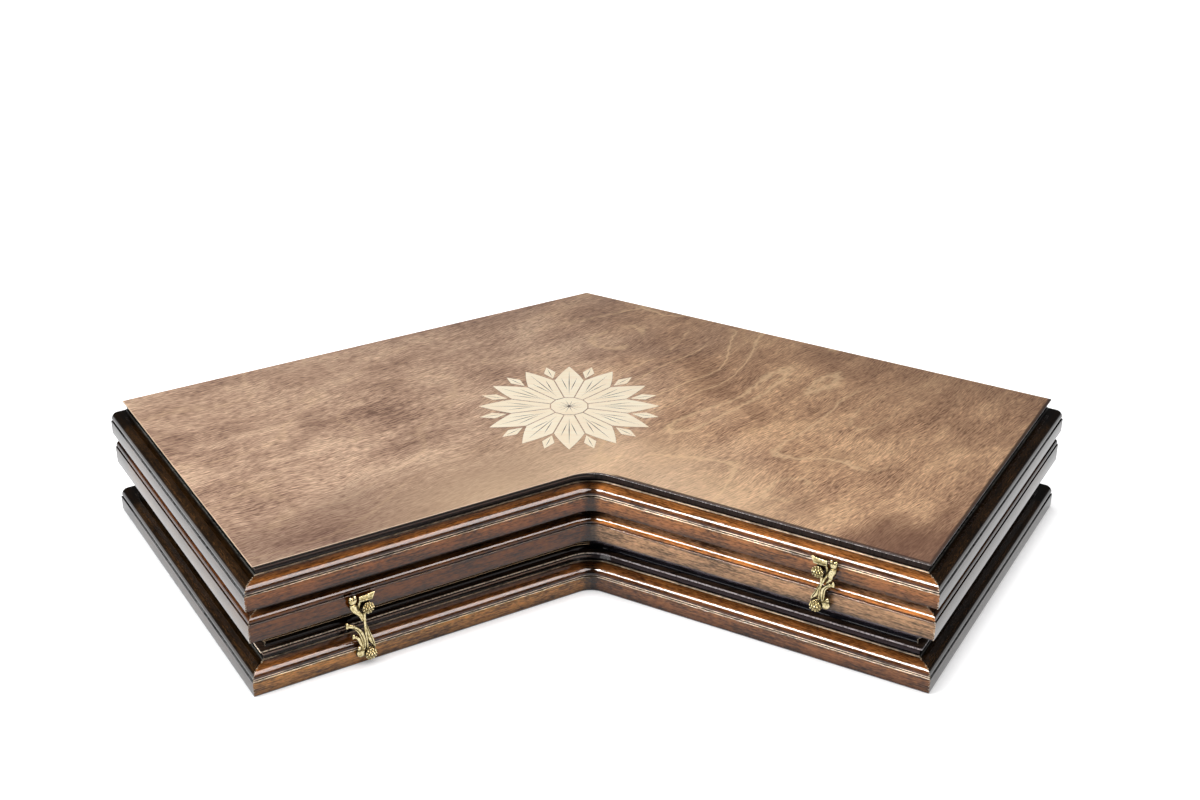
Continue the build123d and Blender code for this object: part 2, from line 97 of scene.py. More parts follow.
class Graph:
    """Short names for adding nodes to one node tree."""

    def __init__(self, tree):
        self.tree = tree

    def new(self, kind):
        return self.tree.nodes.new("ShaderNode" + kind)

    def set(self, socket, value):
        if isinstance(value, bpy.types.NodeSocket):
            self.tree.links.new(value, socket)
        else:
            socket.default_value = value

    def fill(self, node, *values):
        """Sets a node's inputs in their order and gives its first output."""
        for socket, value in zip(node.inputs, values):
            self.set(socket, value)
        return node.outputs[0]

    def math(self, operation, first, second=0.0):
        node = self.new("Math")
        node.operation = operation
        return self.fill(node, first, second)

    def add(self, first, second):
        return self.math("ADD", first, second)

    def less(self, first, second):
        return self.math("SUBTRACT", first, second)

    def times(self, first, second):
        return self.math("MULTIPLY", first, second)

    def total(self, *parts):
        """Sum of values, each times its weight."""
        value = self.times(*parts[0])
        for part in parts[1:]:
            value = self.add(value, self.times(*part))
        return value

    def sway(self, value, noise, reach):
        """The value shifted by a noise that lies round a half."""
        return self.add(value, self.times(self.less(noise, 0.5), reach))

    def mix(self, factor, first, second, blend="MIX"):
        node = self.new("Mix")
        node.data_type = "RGBA"
        node.blend_type = blend
        self.set(node.inputs["Factor"], factor)
        self.set(node.inputs[6], first)
        self.set(node.inputs[7], second)
        return node.outputs[2]

    def span(self, value, low, high, to_low=0.0, to_high=1.0):
        """Maps a value from one range to another, eased and held at its ends."""
        node = self.new("MapRange")
        node.interpolation_type = "SMOOTHSTEP"
        return self.fill(node, value, low, high, to_low, to_high)

    def ramp(self, value, stops):
        """Colour by value. A stop has a place, an sRGB colour and, if it isn't 1, an alpha."""
        node = self.new("ValToRGB")
        while len(node.color_ramp.elements) < len(stops):
            node.color_ramp.elements.new(0.5)
        for element, (place, *colour) in zip(node.color_ramp.elements, stops):
            element.position = place
            element.color = srgb(*colour)
        return self.fill(node, value)

    def place(self, kind="Object"):
        """X, Y and Z of a texture coordinate, in millimetres."""
        node = self.new("VectorMath")
        node.operation = "SCALE"
        self.set(node.inputs[0], self.new("TexCoord").outputs[kind])
        node.inputs["Scale"].default_value = 1000
        split = self.new("SeparateXYZ")
        self.set(split.inputs[0], node.outputs[0])
        return split.outputs

    def vector(self, x, y, z):
        return self.fill(self.new("CombineXYZ"), x, y, z)

    def noise(self, vector, scale, detail, distortion=0.0):
        node = self.new("TexNoise")
        for name, value in (("Vector", vector), ("Scale", scale), ("Detail", detail),
                            ("Roughness", 0.55), ("Distortion", distortion)):
            self.set(node.inputs[name], value)
        return node.outputs[0]

    def grain(self, along, across, seed, length, width, detail):
        """Noise drawn out along the grain; length and width in millimetres."""
        along, across = self.math("DIVIDE", along, length), self.math("DIVIDE", across, width)
        return self.noise(self.vector(along, across, seed), 1.0, detail)

    def openness(self, distance):
        """How little stands within this distance, from 0 to 1."""
        node = self.new("AmbientOcclusion")
        node.samples = 8
        node.inputs["Distance"].default_value = distance
        return node.outputs["AO"]


class Look(Graph):
    """A material with its shader."""

    def __init__(self, name, roughness, metallic=0.0, specular=0.5, coat=0.0, coat_roughness=0.1):
        self.material = bpy.data.materials.new(name)
        self.material.use_nodes = True
        super().__init__(self.material.node_tree)
        self.shader = self.tree.nodes["Principled BSDF"]
        for socket, value in (("Roughness", roughness), ("Metallic", metallic),
                              ("Specular IOR Level", specular), ("Coat Weight", coat),
                              ("Coat Roughness", coat_roughness)):
            self.shader.inputs[socket].default_value = value

    def colour(self, value):
        self.set(self.shader.inputs["Base Color"], value)

    def bump(self, height, distance, strength=1.0):
        node = self.new("Bump")
        node.inputs["Distance"].default_value = distance
        node.inputs["Strength"].default_value = strength
        self.set(node.inputs["Height"], height)
        self.set(self.shader.inputs["Normal"], node.outputs[0])


def veneer_material(name, top, seed):
    """Stained birch veneer: short fibres, blotches and light growth rings on one wide sheet."""
    m = Look(name, roughness=0.45, specular=0.25, coat=0.25, coat_roughness=0.25)
    x, y, z = m.place()
    # The grain runs along the left arm and swings steeper to the right
    bend = m.times(m.times(x, x), 0.00051)
    line = m.add(m.times(x, 0.884), bend)
    across = m.times(m.less(y, line), 0.74)
    along = m.add(m.times(x, 0.8), m.times(y, 0.6))
    wave = m.noise(m.vector(along, across, seed), 0.011, 1.0)
    across = m.add(across, m.times(wave, 22.0))

    fibres = m.grain(along, across, seed, 7.0, 1.0, 1.5)
    dashes = m.grain(along, across, seed + 3, 22.0, 1.6, 2.0)
    streaks = m.grain(along, across, seed + 5, 110.0, 9.0, 3.0)
    blotch = m.grain(along, across, seed + 7, 80.0, 46.0, 3.0)
    tone = m.total((fibres, 0.36), (dashes, 0.2), (streaks, 0.14), (blotch, 0.3))
    face = m.ramp(tone, [
        (0.39, 112, 82, 68), (0.45, 164, 131, 109), (0.50, 192, 158, 133),
        (0.55, 214, 180, 152), (0.61, 240, 208, 176),
    ])
    pores = m.span(m.grain(along, across, seed + 13, 7.0, 0.9, 1.0), 0.56, 0.66)
    face = m.mix(m.times(pores, 0.6), face, srgb(108, 77, 60))

    # The stain is darker towards the back edges and in loose clouds
    aside = m.math("ABSOLUTE", x)
    back = m.less(1000 * apex_y, y)
    inward = m.less(m.times(back, SIN), m.times(aside, COS))
    cloud = m.noise(m.vector(along, across, seed + 11), 0.014, 3.0, distortion=0.5)
    rim = m.span(m.sway(inward, cloud, 420.0), 10.0, 150.0, 0.4, 0.0)
    rim = m.times(rim, m.span(x, -60.0, 160.0, 0.35, 1.0))
    dark = m.math("MAXIMUM", rim, m.span(cloud, 0.54, 0.7, 0.0, 0.3))
    # And round the right front corner
    corner = spot(arm_length, arm_width, 1) * 1000
    gap_x, gap_y = m.less(x, corner.x), m.less(y, corner.y)
    far = m.math("SQRT", m.add(m.times(gap_x, gap_x), m.times(gap_y, gap_y)))
    far = m.sway(far, blotch, 160.0)
    dark = m.math("MAXIMUM", dark, m.span(far, 14.0, 104.0, 0.78, 0.0))
    # And along the front edge of the left arm
    strip = m.span(m.sway(inward, blotch, 90.0), 205.0, 262.0, 0.0, 0.58)
    dark = m.math("MAXIMUM", dark, m.times(strip, m.span(x, -70.0, 0.0, 1.0, 0.0)))
    face = m.mix(dark, face, srgb(104, 72, 58))
    # More golden on the right arm
    gold = m.span(m.add(x, m.times(cloud, 300.0)), 60.0, 330.0, 0.0, 0.8)
    face = m.mix(gold, face, m.mix(1.0, face, (1.06, 0.94, 0.74, 1), "MULTIPLY"))
    # Paler wood round the inner corner
    pale = m.span(m.add(inward, m.times(cloud, 60.0)), 210.0, 310.0)
    pale = m.times(pale, m.span(aside, 70.0, 190.0, 0.45, 0.0))
    face = m.mix(pale, face, srgb(240, 206, 168))

    # Light growth rings, strongest on the right arm
    hill = m.noise(m.vector(m.times(along, 0.42), across, seed + 19), 0.0105, 1.0)
    jag = m.noise(m.vector(x, y, seed), 0.15, 2.0)
    ring = m.less(m.math("FRACT", m.total((hill, 8.0), (jag, 0.22))), 0.5)
    ring = m.span(m.math("ABSOLUTE", ring), 0.0, 0.07, 1.0, 0.0)
    patch = m.span(m.noise(m.vector(along, across, seed + 23), 0.013, 2.0), 0.4, 0.5)
    where = m.times(m.span(x, -40.0, 60.0, 0.25, 1.0), patch)
    where = m.times(where, m.span(x, 190.0, 260.0, 1.0, 0.15))
    where = m.times(where, m.span(far, 80.0, 160.0))
    ring = m.times(m.times(ring, where), 0.6)
    face = m.mix(ring, face, srgb(232, 198, 156))

    # The edge is pale on the left and dark on the right; the neck is black. The pale line under
    # the right lip is a painted highlight, and the pale band in the left neck is a painted reflection.
    depth = m.less(1000 * top, z)
    share = m.math("DIVIDE", depth, EDGE_COLOURS)
    left_lip_with_painted_light = m.ramp(share, [
        (0.0, 240, 212, 182), (0.06, 226, 194, 160), (0.075, 60, 42, 32),
        (0.2, 56, 42, 34), (0.215, 16, 11, 10), (0.56, 14, 10, 9),
        (0.6, 112, 98, 90), (0.7, 104, 90, 82), (0.74, 14, 9, 8), (1.0, 24, 18, 16),
    ])
    end = m.add(m.times(back, COS), m.times(aside, SIN))
    front = m.math("MINIMUM", m.less(1000 * arm_width, inward), m.less(1000 * arm_length, end))
    brink = m.times(m.span(front, 1.7, 3.0, 0.94, 0.0), m.span(x, 12.0, 22.0))
    face = m.mix(brink, face, srgb(60, 38, 26))
    right_lip_with_painted_highlight = m.ramp(share, [
        (0.0, 52, 30, 20), (0.07, 26, 12, 6), (0.11, 34, 24, 20),
        (0.13, 244, 236, 234), (0.21, 236, 228, 226), (0.225, 16, 12, 11), (1.0, 18, 14, 13),
    ])
    # Noise breaks the painted highlight under the right lip into dots
    gaps = m.span(m.noise(m.vector(x, y, seed), 0.6, 2.0), 0.4, 0.5)
    right_lip_with_painted_highlight = m.mix(m.times(gaps, m.span(depth, 0.7, 0.9, 0.0, 0.7)), right_lip_with_painted_highlight, srgb(40, 32, 30))
    lip = m.mix(m.span(x, -4.0, 4.0), left_lip_with_painted_light, right_lip_with_painted_highlight)
    m.colour(m.mix(m.span(depth, 0.13, 0.2), face, lip))
    m.bump(fibres, 0.00006, 0.4)
    return m.material


def lacquer(name):
    m = Look(name, roughness=0.4, specular=0.0, coat=1.0, coat_roughness=0.05)
    m.shader.inputs["Coat IOR"].default_value = 1.42
    return m


def dark_veneer_material(name, top, seed):
    """Panel whose face is hidden when the set is closed but for a strip under the tray above, with a
    black lacquered edge. Its face is painted dark as shade.
    """
    m = lacquer(name)
    x, y, z = m.place()
    streaks = m.grain(x, y, seed, 60.0, 6.0, 4.0)
    fibres = m.grain(x, y, seed + 4, 14.0, 0.9, 3.0)
    tone = m.total((streaks, 0.5), (fibres, 0.5))
    face = m.ramp(tone, [(0.38, 30, 22, 18), (0.62, 66, 50, 38)])
    depth = m.less(1000 * top, z)
    share = m.math("DIVIDE", depth, EDGE_COLOURS)
    # On the left, the pale top of the lip is a painted highlight and the pale band lower in the neck is a
    # painted reflection; on the right, the grey lines along the lip are painted highlights.
    left_lip_with_painted_light = m.ramp(share, [
        (0.0, 255, 240, 216), (0.1, 250, 226, 196), (0.12, 90, 70, 56),
        (0.2, 60, 46, 38), (0.215, 30, 22, 20), (0.56, 24, 18, 16),
        (0.6, 170, 150, 136), (0.72, 160, 140, 126), (0.76, 26, 18, 16), (1.0, 40, 32, 30),
    ])
    right_lip_with_painted_highlight = m.ramp(share, [
        (0.0, 150, 140, 140), (0.06, 190, 182, 184), (0.2, 210, 204, 206),
        (0.215, 54, 48, 50), (1.0, 66, 60, 64),
    ])
    lip = m.mix(m.span(x, -4.0, 4.0), left_lip_with_painted_light, right_lip_with_painted_highlight)
    # Noise breaks the painted lip highlights into dots
    chips_and_highlight_breaks = m.span(m.noise(m.vector(x, y, z), 0.5, 2.0), 0.46, 0.6)
    lip = m.mix(m.times(m.span(depth, 1.5, 1.7, 0.6, 0.0), chips_and_highlight_breaks), lip, srgb(52, 44, 42))
    m.colour(m.mix(m.span(depth, 0.0, 0.1), face, lip))
    return m.material


def moulding_material(name, seed, bands, split, left, right, lines=()):
    """Lacquered board. bands gives colours by length round the profile, in millimetres, with
    no lacquer where a colour's alpha is 0. left and right give the tints of the two arms,
    above and below the length split; they paint light and shade, lighter or darker by how the
    lamps fall on each arm. lines adds pale lines of painted reflection on the left arm. The
    map's U runs along the board from its mitre and V runs round the profile."""
    m = lacquer(name)
    u, v = m.place("UV")[:2]
    x = m.place()[0]
    wobble = m.noise(m.vector(m.math("DIVIDE", u, 14.0), 0.0, seed), 1.0, 2.0)
    level = m.sway(v, wobble, 0.12)
    first, last = bands[0][0], bands[-1][0]
    share = m.math("DIVIDE", m.less(level, first), last - first)
    colour = m.ramp(share, [((place - first) / (last - first), *stain) for place, *stain in bands])
    m.set(m.shader.inputs["Coat Weight"], colour.node.outputs["Alpha"])
    streaks = m.grain(u, v, seed, 60.0, 1.6, 4.0)
    fleck = m.grain(u, v, seed + 5, 4.0, 1.1, 1.5)
    cloud = m.grain(u, v, seed + 9, 30.0, 12.0, 3.0)
    waves = m.grain(u, v, seed + 2, 9.0, 3.0, 2.0)
    tone = m.total((streaks, 0.28), (fleck, 0.28), (cloud, 0.28), (waves, 0.16))
    light = m.span(tone, 0.39, 0.61, 0.25, 1.75)
    # The board darkens where it turns the inner corner
    light = m.times(light, m.span(u, 251.0, 261.0, 1.0, 0.2))
    colour = m.mix(1.0, colour, m.vector(light, light, light), "MULTIPLY")
    # Each arm's tint paints light and shade on it, above and below the split
    side = m.span(x, -1.0, 1.0)
    above, below = (m.mix(side, left[part] + (1,), right[part] + (1,)) for part in (0, 1))
    tint = m.mix(m.span(level, split - 0.2, split + 0.2), above, below)
    colour = m.mix(1.0, colour, tint, "MULTIPLY")
    on_left = m.span(x, -2.0, 0.0, 1.0, 0.0)
    # Pale lines of painted reflection on the left arm
    for low, high in lines:
        half = (high - low) / 2
        near = m.math("ABSOLUTE", m.less(level, low + half))
        near = m.times(m.span(near, half - 0.15, half + 0.15, 0.7, 0.0), on_left)
        colour = m.mix(near, colour, srgb(214, 186, 150))
    # Chips of bare wood along the mitre
    chips_and_highlight_breaks = m.span(m.noise(m.vector(u, v, seed), 0.9, 2.0), 0.5, 0.62)
    worn = m.times(chips_and_highlight_breaks, m.span(u, 0.4, 1.3, 0.9, 0.0))
    m.colour(m.mix(worn, colour, srgb(226, 206, 178)))
    # The lacquer lies in slow waves, which unsettle its highlights
    m.bump(m.add(waves, m.times(fleck, 0.12)), 0.00018)
    return m.material


def plain_wood(name, dark, light, seed, roughness=0.4, coat=0.3, length=40.0, width=1.4):
    m = Look(name, roughness=roughness, specular=0.3, coat=coat, coat_roughness=0.15)
    x, y, z = m.place()
    across = m.add(y, m.times(z, 1.7))
    streaks = m.grain(x, across, seed, length, width, 4.0)
    cloud = m.noise(m.vector(x, y, z), 0.03, 3.0)
    tone = m.total((streaks, 0.6), (cloud, 0.4))
    m.colour(m.ramp(tone, [(0.36, *dark), (0.62, *light)]))
    m.bump(streaks, 0.0001, 0.3)
    return m.material


def brass_material(name, carved):
    """Antique brass. On the cast pieces the wear attribute tells high places from hollows."""
    m = Look(name, roughness=0.3, metallic=1.0)
    x, y, z = m.place()
    cloud = m.noise(m.vector(x, y, z), 0.5, 3.0)
    tone = m.span(cloud, 0.3, 0.7, 0.78, 0.86)
    if carved:
        wear = m.new("Attribute")
        wear.attribute_name = "wear"
        tone = m.times(wear.outputs["Fac"], m.span(cloud, 0.3, 0.7, 0.8, 1.1))
        tone = m.times(tone, m.span(m.openness(0.004), 0.35, 0.95, 0.12, 1.0))
    m.colour(m.ramp(tone, [
        (0.0, 18, 12, 8), (0.3, 54, 42, 25), (0.6, 112, 98, 62),
        (0.82, 160, 146, 102), (1.0, 206, 194, 154)]))
    m.set(m.shader.inputs["Roughness"], m.span(tone, 0.0, 1.0, 0.5, 0.22))
    m.bump(cloud, 0.0002 if carved else 0.00005, 0.25)
    return m.material


def gloss_material(name, colour, other, seed):
    """Marbled plastic of the men and dice."""
    m = Look(name, roughness=0.22, specular=0.4, coat=0.3)
    x, y, z = m.place()
    cloud = m.noise(m.vector(x, y, z), 0.12, 4.0, distortion=1.5)
    m.colour(m.mix(m.span(cloud, 0.35, 0.65), srgb(*colour), srgb(*other)))
    return m.material


# Colours round the profiles: length along the profile from its inner top corner, in
# millimetres, colour and lacquer. The pale lines on the bead and the arrises are painted
# highlights; the dark unlacquered lines in the quirks are painted shade, as is the darkening at
# the foot of each band. On the middle tray, the ledge's reddish brown is partly the wood's colour
# and partly a painted reflection of the band above, and the cove's pale grey is a painted reflection.
shallow_bands = [
    (16.8, 16, 11, 10), (17.1, 226, 204, 178), (18.7, 206, 182, 152),
    (19, 78, 48, 26), (20.3, 108, 66, 30), (24.8, 136, 82, 38),
    (28.3, 150, 94, 48), (30.3, 108, 66, 38), (32.4, 72, 44, 30),
    (33.2, 66, 40, 26), (33.4, 250, 226, 202), (34.2, 226, 198, 172),
    (34.35, 20, 12, 8, 0), (35.7, 20, 12, 8, 0), (35.9, 244, 218, 192),
    (36.8, 226, 198, 170), (37.1, 126, 82, 48), (38.4, 150, 99, 57),
    (42.3, 140, 91, 52), (45.8, 114, 74, 42), (47.6, 92, 59, 33),
    (48.4, 50, 31, 20), (50.8, 26, 16, 11),
]
middle_bands = [
    (0.0, 96, 66, 46), (18.5, 60, 40, 28, 0.3), (20.0, 26, 15, 10, 0.2),
    (24.4, 60, 38, 26, 0.4), (26.2, 142, 104, 76), (30.5, 150, 106, 74),
    (32.5, 156, 98, 50), (35.8, 158, 94, 38), (36.5, 92, 52, 20),
    (36.8, 54, 30, 14, 0), (37.4, 48, 28, 16, 0), (37.6, 132, 100, 76),
    (38.2, 142, 108, 82), (38.5, 108, 68, 40), (39.8, 152, 100, 58),
    (45.0, 150, 98, 56), (50.5, 130, 85, 48), (51.9, 86, 58, 38),
    (52.6, 130, 112, 104), (56.0, 150, 124, 108), (66.0, 140, 114, 100),
    (71.0, 24, 18, 17), (75.0, 20, 16, 16),
]
SHALLOW_SPLIT, MIDDLE_SPLIT = 36.8, 38.3


def grey(level):
    return (level, level, level)


def wood(name, seed, left, right):
    """Wood of the mouldings of the upper or the lower tray."""
    return moulding_material(name, seed, shallow_bands, SHALLOW_SPLIT, left, right)


# The tints paint light and shade: each arm's boards are lighter or darker by how the lamps fall on them, and
# the ends are painted near black with a bluish painted reflection.
end_painted_shade_tint = ((0.1, 0.13, 0.17), (0.14, 0.2, 0.34))
shallow_wood = wood("upper_moulding", 1.0, ((0.74, 0.72, 0.7), (1.0, 0.74, 0.42)),
                    (grey(1.3), (0.98, 0.87, 0.68)))
middle_wood = moulding_material(
    "middle_moulding", 4.0, middle_bands, MIDDLE_SPLIT, ((0.46, 0.4, 0.3), (0.52, 0.36, 0.14)),
    (grey(1.5), (1.15, 1.55, 2.3)), ((66.2, 67.6), (70.4, 71.8)))
lower_wood = wood("lower_moulding", 8.0, (grey(1.0), (1.7, 1.72, 1.0)), (grey(1.0), (0.6, 0.52, 0.46)))
shallow_end_wood = wood("upper_end_moulding", 11.0, end_painted_shade_tint, end_painted_shade_tint)
middle_end_wood = moulding_material(
    "middle_end_moulding", 14.0, middle_bands, MIDDLE_SPLIT, ((0.22, 0.2, 0.2), (0.24, 0.34, 0.5)),
    (grey(0.14), (0.22, 0.31, 0.48)))
lower_end_wood = wood("lower_end_moulding", 18.0, end_painted_shade_tint, end_painted_shade_tint)
panel_veneer = veneer_material("panel_veneer", upper_top, 2.0)
lower_veneer = dark_veneer_material("lower_veneer", lower_top, 5.0)
floor_veneer = dark_veneer_material("floor_veneer", middle_base + PANEL_THICKNESS * MM, 7.0)
edge_wood = plain_wood("edge_wood", (58, 38, 28), (98, 68, 50), 3.0)
field_wood = plain_wood("field_wood", (120, 84, 56), (168, 128, 88), 6.0)
light_inlay = plain_wood("light_inlay", (250, 230, 200), (255, 244, 220), 9.0, 0.5, 0.2, 30.0, 2.0)
dark_inlay = plain_wood("dark_inlay", (40, 26, 20), (70, 46, 34), 10.0)
burnt_line_and_painted_shade = plain_wood("burnt_line", (44, 26, 18), (74, 46, 32), 12.0, 0.6, 0.0)
brass = brass_material("brass", False)
cast_brass = brass_material("cast_brass", True)
light_plastic = gloss_material("light_men", (236, 226, 202), (224, 208, 176), 1.0)
dark_plastic = gloss_material("dark_men", (30, 27, 26), (48, 42, 40), 2.0)
red_plastic = gloss_material("red_men", (124, 24, 18), (92, 14, 12), 3.0)
dice_plastic = gloss_material("dice", (240, 234, 220), (228, 220, 202), 4.0)
pip_plastic = gloss_material("pips", (24, 22, 24), (36, 32, 34), 5.0)


def dress(name, material):
    mesh = nodes[name].data
    mesh.materials.clear()
    mesh.materials.append(material)


for name in nodes:
    if name == "lower_panel":
        dress(name, lower_veneer)
    elif name == "middle_floor":
        dress(name, floor_veneer)
    elif name.endswith("field"):
        dress(name, field_wood)
    elif name.endswith("light_points"):
        dress(name, light_inlay)
    elif name.endswith("dark_points"):
        dress(name, dark_inlay)
    elif "leaf" in name:
        dress(name, brass)
    else:
        dress(name, edge_wood)


def eased_solid(name, width):
    """Small roundings on the arrises of a solid that the scene keeps."""
    solid = nodes[name]
    weld = solid.modifiers.new("weld", "WELD")
    weld.merge_threshold = 0.00001
    flat = solid.modifiers.new("flat", "DECIMATE")
    flat.decimate_type = "DISSOLVE"
    flat.angle_limit = radians(0.5)
    bevel = solid.modifiers.new("bevel", "BEVEL")
    bevel.width = width
    bevel.segments = 2
    bevel.limit_method = "ANGLE"
    bevel.angle_limit = radians(40)


for name in nodes:
    if name.endswith("back") or name in ("lower_panel", "middle_floor"):
        eased_solid(name, 0.0006 if name == "lower_panel" else 0.0003)
    elif "leaf" in name:
        eased_solid(name, 0.0002)


def add_object(name, data):
    made = bpy.data.objects.new(name, data)
    bpy.context.scene.collection.objects.link(made)
    return made


def mesh_object(name, mesh):
    """Scene object from a bmesh, which it uses up."""
    data = bpy.data.meshes.new(name)
    mesh.to_mesh(data)
    mesh.free()
    return add_object(name, data)


def piece(name, mesh, materials, body, replaced=(), sharp=35):
    """Visible piece from a bmesh, smooth but for the edges above the angle."""
    bmesh.ops.recalc_face_normals(mesh, faces=mesh.faces)
    for edge in mesh.edges:
        edge.smooth = edge.calc_face_angle(0) < radians(sharp)
    for face in mesh.faces:
        face.smooth = True
    made = mesh_object(name, mesh)
    for material in materials:
        made.data.materials.append(material)
    if replaced:
        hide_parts(*replaced)
    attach(made, body)


def row(mesh, points, level):
    """Vertices at points of the plan, all at one level."""
    return [mesh.verts.new((x, y, level)) for x, y in points]


def walls(mesh, low, high, material=0):
    """Faces between two closed rows of vertices."""
    for index in range(len(low)):
        after = (index + 1) % len(low)
        face = mesh.faces.new((low[index], low[after], high[after], high[index]))
        face.material_index = material


def use_second_material(made):
    for vert in made["verts"]:
        for face in vert.link_faces:
            face.material_index = 1


# Moulded boards, swept round the front of each tray


def arc(centre, radius, start, end, steps):
    """Points on an arc in the profile's plane. Angles in degrees, from outwards up."""
    turns = [radians(start + (end - start) * index / steps) for index in range(steps + 1)]
    return [(centre[0] + radius * cos(t), centre[1] + radius * sin(t)) for t in turns]


def eased(corner, before, after, radius):
    """Points that round off a profile's corner between two neighbours."""
    here = Vector(corner)
    first = here + (Vector(before) - here).normalized() * radius
    last = here + (Vector(after) - here).normalized() * radius
    shares = [index / 3 for index in range(4)]
    return [tuple((1 - t) ** 2 * first + 2 * t * (1 - t) * here + t ** 2 * last) for t in shares]


def rounded(profile, radii):
    """The closed profile with each corner eased by its radius."""
    points = []
    for index, corner in enumerate(profile):
        if index in radii:
            following = profile[(index + 1) % len(profile)]
            points += eased(corner, profile[index - 1], following, radii[index])
        else:
            points.append(corner)
    return points


def shallow_profile():
    """Wall of the upper and lower trays: out from the panel's edge, height from the tray's top."""
    bead = [(-2.55, -8.4), (-2.3, -8.05), (-1.95, -7.95), (-1.6, -8.05), (-1.4, -8.4)]
    profile = [(-18, -PANEL_THICKNESS), (-2.6, -PANEL_THICKNESS), (-2.6, -8.4)]
    profile += bead + arc((5.1, -13.6), 5.2, 90, 0, 12)
    first = len(profile)
    profile += [(10.3, -14.2), (9.6, -14.2), (9.6, -15.0), (11.2, -15.0)]
    profile += [(11.2, -26.3), (10.5, -27), (-18, -27)]
    radii = (0.25, 0.12, 0.12, 0.4, 0.35, 0.35)
    return rounded(profile, {first + index: radius for index, radius in enumerate(radii)})


def middle_profile():
    """Wall of the middle tray: out from the panel's edge, height from its rim."""
    ledge = arc((5.8, -10.4), 3.7, 90, 0, 10)
    cove = []
    for index in range(9):
        t = index / 8
        sag = 4 * 1.6 * t * (1 - t)
        cove.append((10.3 - 15.3 * t - 0.65 * sag, -25.7 - 13.0 * t + 0.76 * sag))
    profile = [(-18, 0), (1.0, 0), (1.0, -6.7)] + ledge + [(9.5, -11.4)]
    first = len(profile)
    profile += [(10.3, -11.4)] + cove + [(-5, -42.2), (-18, -42.2)]
    return rounded(profile, {0: 0.3, 1: 0.3, first: 0.35, first + 1: 0.5})


TURN_STEPS = 10


def outline(out, side):
    """Path of one side at this distance out from the panel's edge: back corner, front corner,
    start of the inner corner's turn, and the turn up to the plan's axis."""
    width = arm_width + out
    end = arm_length + out
    points = [spot(end, 0, side), spot(end, width, side)]
    centre_inward = arm_width + inner_radius
    turn_along = centre_inward / TAN
    centre = Vector((0, apex_y - centre_inward / SIN))
    start = spot(turn_along, width, side)
    for index in range(TURN_STEPS + 1):
        angle = side * radians(30) * index / TURN_STEPS
        points.append(centre + Matrix.Rotation(angle, 2) @ (start - centre))
    return points


def sweep(name, profile, top, side, first, last, material, body, replaced):
    """One board: the closed profile carried along part of the outline."""
    mesh = bmesh.new()
    uv_layer = mesh.loops.layers.uv.new("UVMap")
    rows, round_lengths = [], [0.0]
    for out, height in profile:
        path = outline(out * MM, side)[first:last + 1]
        rows.append(row(mesh, path, top + height * MM))
    for before, after in zip(profile, profile[1:] + profile[:1]):
        length = hypot(after[0] - before[0], after[1] - before[1]) * MM
        round_lengths.append(round_lengths[-1] + length)
    mitre = outline(0, side)[1]
    path = outline(0, side)[first:last + 1]
    lengths = [abs((p - mitre).dot((path[1] - path[0]).normalized())) for p in path]
    count = len(rows)
    for index in range(count):
        following = (index + 1) % count
        for step in range(len(path) - 1):
            here, there = rows[index], rows[following]
            face = mesh.faces.new((here[step], here[step + 1], there[step + 1], there[step]))
            for loop, column, place in zip(face.loops, (step, step + 1, step + 1, step), (0, 0, 1, 1)):
                # The mitre cuts each line of the profile at its own length
                reach = lengths[column]
                if (path[column] - mitre).length < 1e-6:
                    reach = 0
                elif column in (0, len(path) - 1) and last == 1:
                    reach = (loop.vert.co.xy - mitre).length
                loop[uv_layer].uv = (reach, round_lengths[index + place])
    for step in (0, len(path) - 1):
        cap = mesh.faces.new([line[step] for line in rows])
        for loop in cap.loops:
            loop[uv_layer].uv = (0.02 + abs(loop.vert.co.x), 0.0445 + 0.1 * (top - loop.vert.co.z))
    piece(name, mesh, [material], body, [replaced])


for tray, profile, top, front, end in (
        ("upper", shallow_profile(), upper_top, shallow_wood, shallow_end_wood),
        ("middle", middle_profile(), middle_top, middle_wood, middle_end_wood),
        ("lower", shallow_profile(), lower_top, lower_wood, lower_end_wood)):
    for side_name, side in (("left", -1), ("right", 1)):
        node = f"{tray}_{side_name}"
        for face, first, last, material in (("end", 0, 1, end), ("front", 1, TURN_STEPS + 2, front)):
            sweep(f"{node}_{face}_moulding", profile, top, side, first, last, material,
                  f"{tray}_tray", f"{node}_{face}")


# Upper panel with its lip and neck, and the inlaid star


def ring(out, back):
    """Closed outline of a panel, out from its front and end edges and in from its back edges."""
    points = []
    for side in (1, -1):
        half = outline(out, side)
        half[0] = spot(arm_length + out, back, side)
        points += half if side > 0 else list(reversed(half))[1:]
    return points + [Vector((0, apex_y - back / SIN))]


def panel():
    mesh = bmesh.new()
    rings = []
    for out, back, height in (
            (-2.6, 0, -PANEL_THICKNESS), (-2.6, 0, -1.4), (-0.3, 0, -1.4), (-0.08, 0, -1.32),
            (0, 0, -1.1), (0, 0, -0.6), (-0.1, 0.05, -0.34), (-0.3, 0.15, -0.18), (-0.6, 0.4, -0.1)):
        rings.append(row(mesh, ring(out * MM, back * MM), upper_top + height * MM))
    for lower, upper in zip(rings, rings[1:]):
        walls(mesh, lower, upper)
    mesh.faces.new(rings[0])
    mesh.faces.new(rings[-1])
    piece("upper_panel_board", mesh, [panel_veneer], "upper_tray",
          ["upper_panel"], 25)


